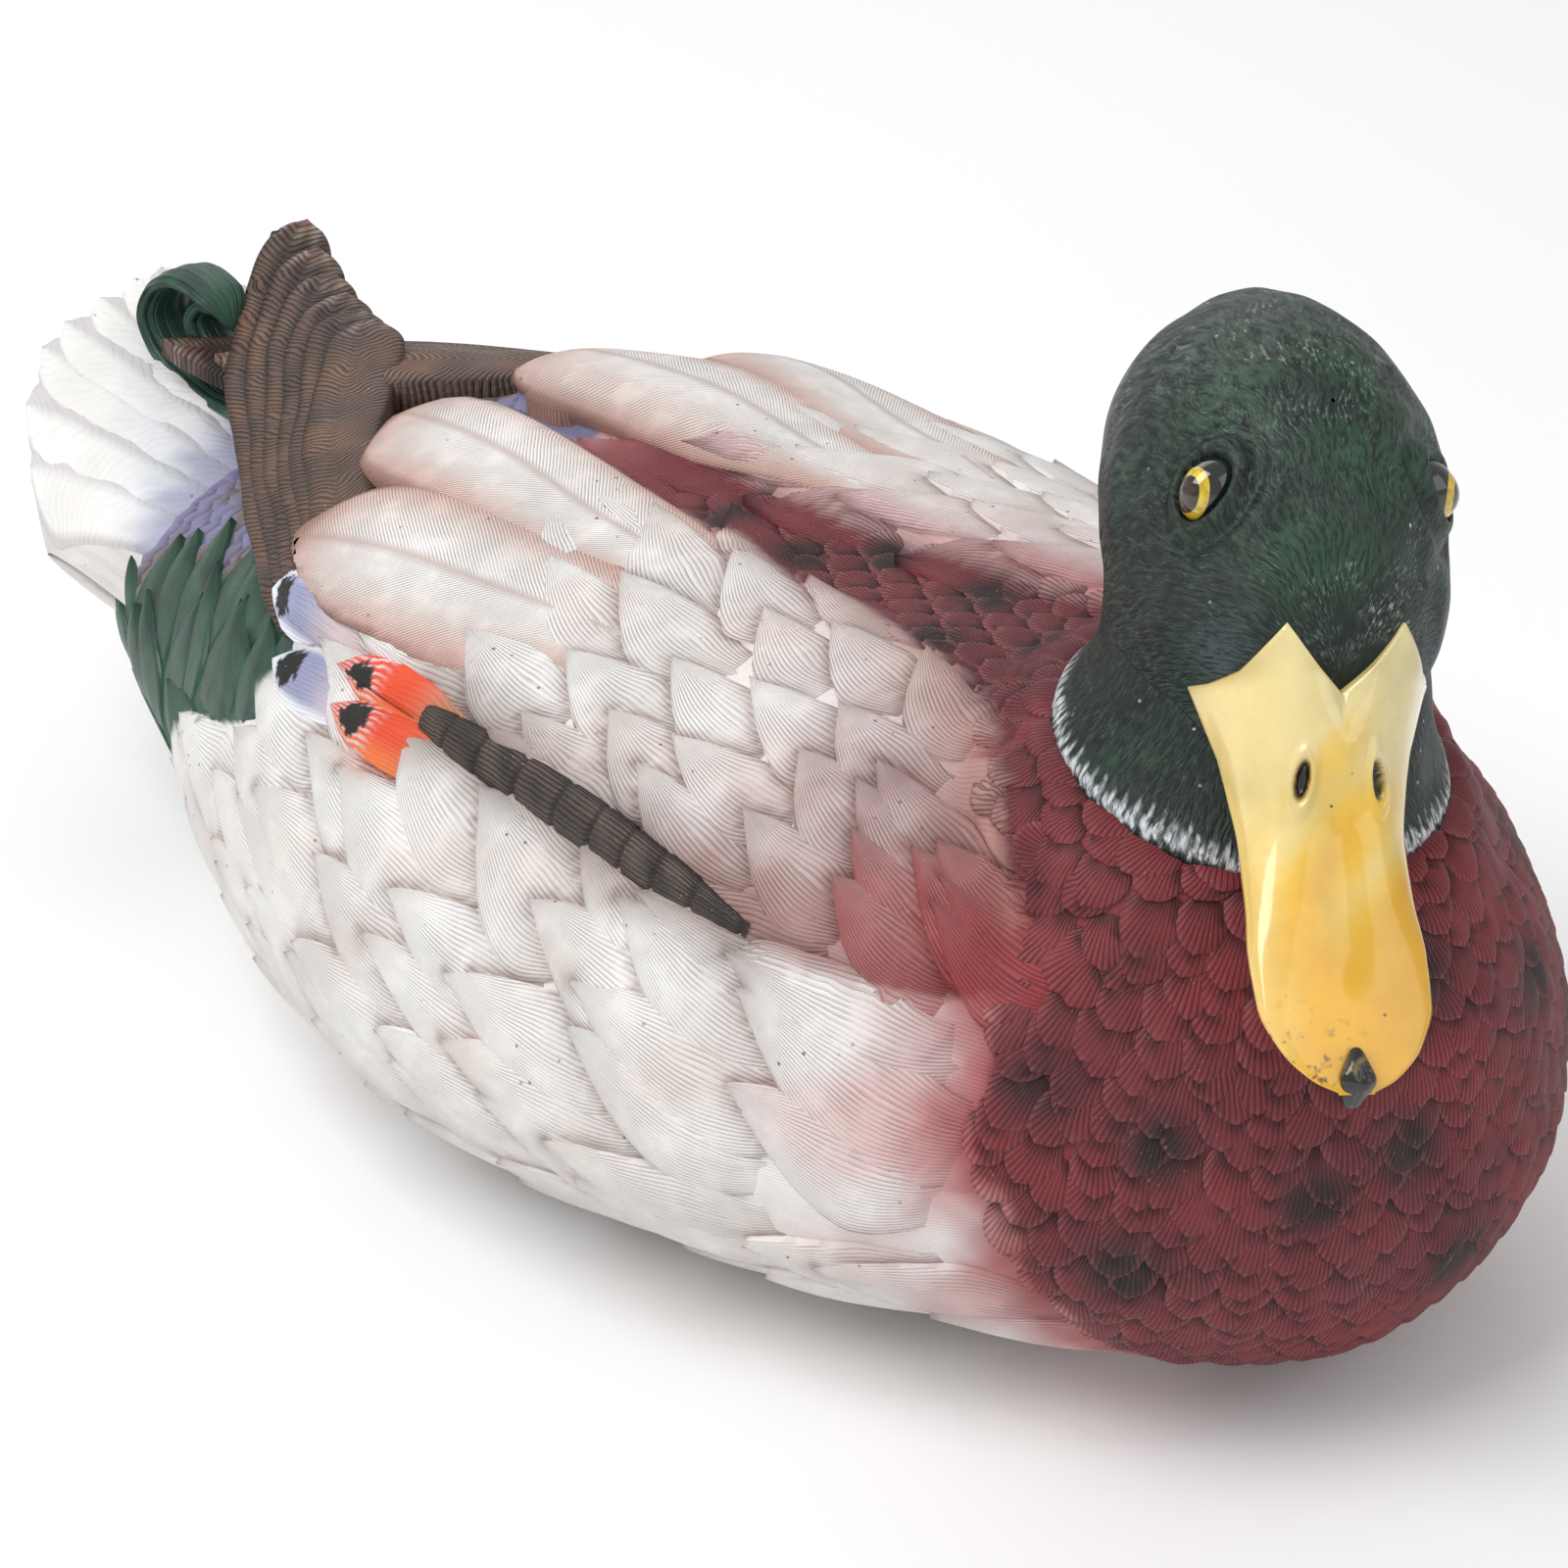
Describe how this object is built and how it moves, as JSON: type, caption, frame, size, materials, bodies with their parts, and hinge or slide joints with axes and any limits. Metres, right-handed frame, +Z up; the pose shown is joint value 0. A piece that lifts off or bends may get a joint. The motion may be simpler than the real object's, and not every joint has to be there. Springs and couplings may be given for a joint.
{
  "type": "floating duck decoy",
  "caption": "Painted drake decoy: hollow feathered shell on a ballasted hull, folded wings, fan tail with curls, and a head that turns on its neck.",
  "frame": {"origin": "on the floor, at the middle of the hull's flat underside, on the duck's midline", "axes": "+Z up; the duck's breast faces -Y and its tail +Y; its right side is at -X"},
  "size_m": [0.194, 0.3732, 0.1841],
  "materials": {
    "shell_paint": "hand-painted resin, maroon breast and white feathered flanks",
    "hull_paint": "painted resin",
    "wing_paint": "white feathers with pink and maroon airbrushing",
    "primary_paint": "dark brown feathers with pale specks",
    "tail_paint": "white feathers",
    "curl_paint": "satin dark green",
    "head_paint": "dark green with fine hair strokes",
    "bill_paint": "glossy yellow, cream at its base",
    "nail_paint": "glossy black",
    "eye_gloss": "high gloss, yellow ring and black pupil",
    "plated_steel": "zinc plated",
    "ballast_iron": "rough cast",
    "seal_rubber": "matte black",
    "foam_white": "closed-cell foam",
    "bush_nylon": "natural nylon"
  },
  "bodies": {
    "shell": {"body_shell": "shell_paint", "hull_bottom": "hull_paint", "right_wing": "wing_paint", "left_wing": "wing_paint", "right_primaries": "primary_paint", "left_primaries": "primary_paint", "tail_fan": "tail_paint", "curl_feather_right": "curl_paint", "curl_feather_left": "curl_paint", "spring_washer": "plated_steel", "tether_pin": "plated_steel", "hull_screw_1": "plated_steel", "hull_screw_2": "plated_steel", "hull_screw_3": "plated_steel", "hull_screw_4": "plated_steel", "hull_screw_5": "plated_steel", "hull_screw_6": "plated_steel", "ballast_screw_1": "plated_steel", "ballast_screw_2": "plated_steel", "ballast_weight": "ballast_iron", "hull_gasket": "seal_rubber", "drain_o_ring": "seal_rubber", "foam_float_front": "foam_white", "foam_float_rear": "foam_white", "neck_bush": "bush_nylon"},
    "head": {"head_shell": "head_paint", "upper_bill": "bill_paint", "lower_bill": "bill_paint", "bill_nail": "nail_paint", "right_eye": "eye_gloss", "left_eye": "eye_gloss", "neck_stud": "plated_steel", "lock_nut": "plated_steel"},
    "tether": {"tether_tab": "plated_steel"},
    "plug": {"drain_plug": "seal_rubber"}
  },
  "joints": [
    {"name": "head_swivel", "type": "hinge", "parent": "shell", "child": "head", "pos_m": [0, -0.1303, 0.1115], "axis": [0, -0.2419, 0.9703], "range_deg": [-29, 91]},
    {"name": "tether_fold", "type": "hinge", "parent": "shell", "child": "tether", "pos_m": [0, -0.095, 0.0042], "axis": [-1, 0, 0], "range_deg": [0, 100]},
    {"name": "drain_plug_pull", "type": "slide", "parent": "shell", "child": "plug", "axis": [0, 0, -1], "range_m": [0, 0.012]}
  ]
}
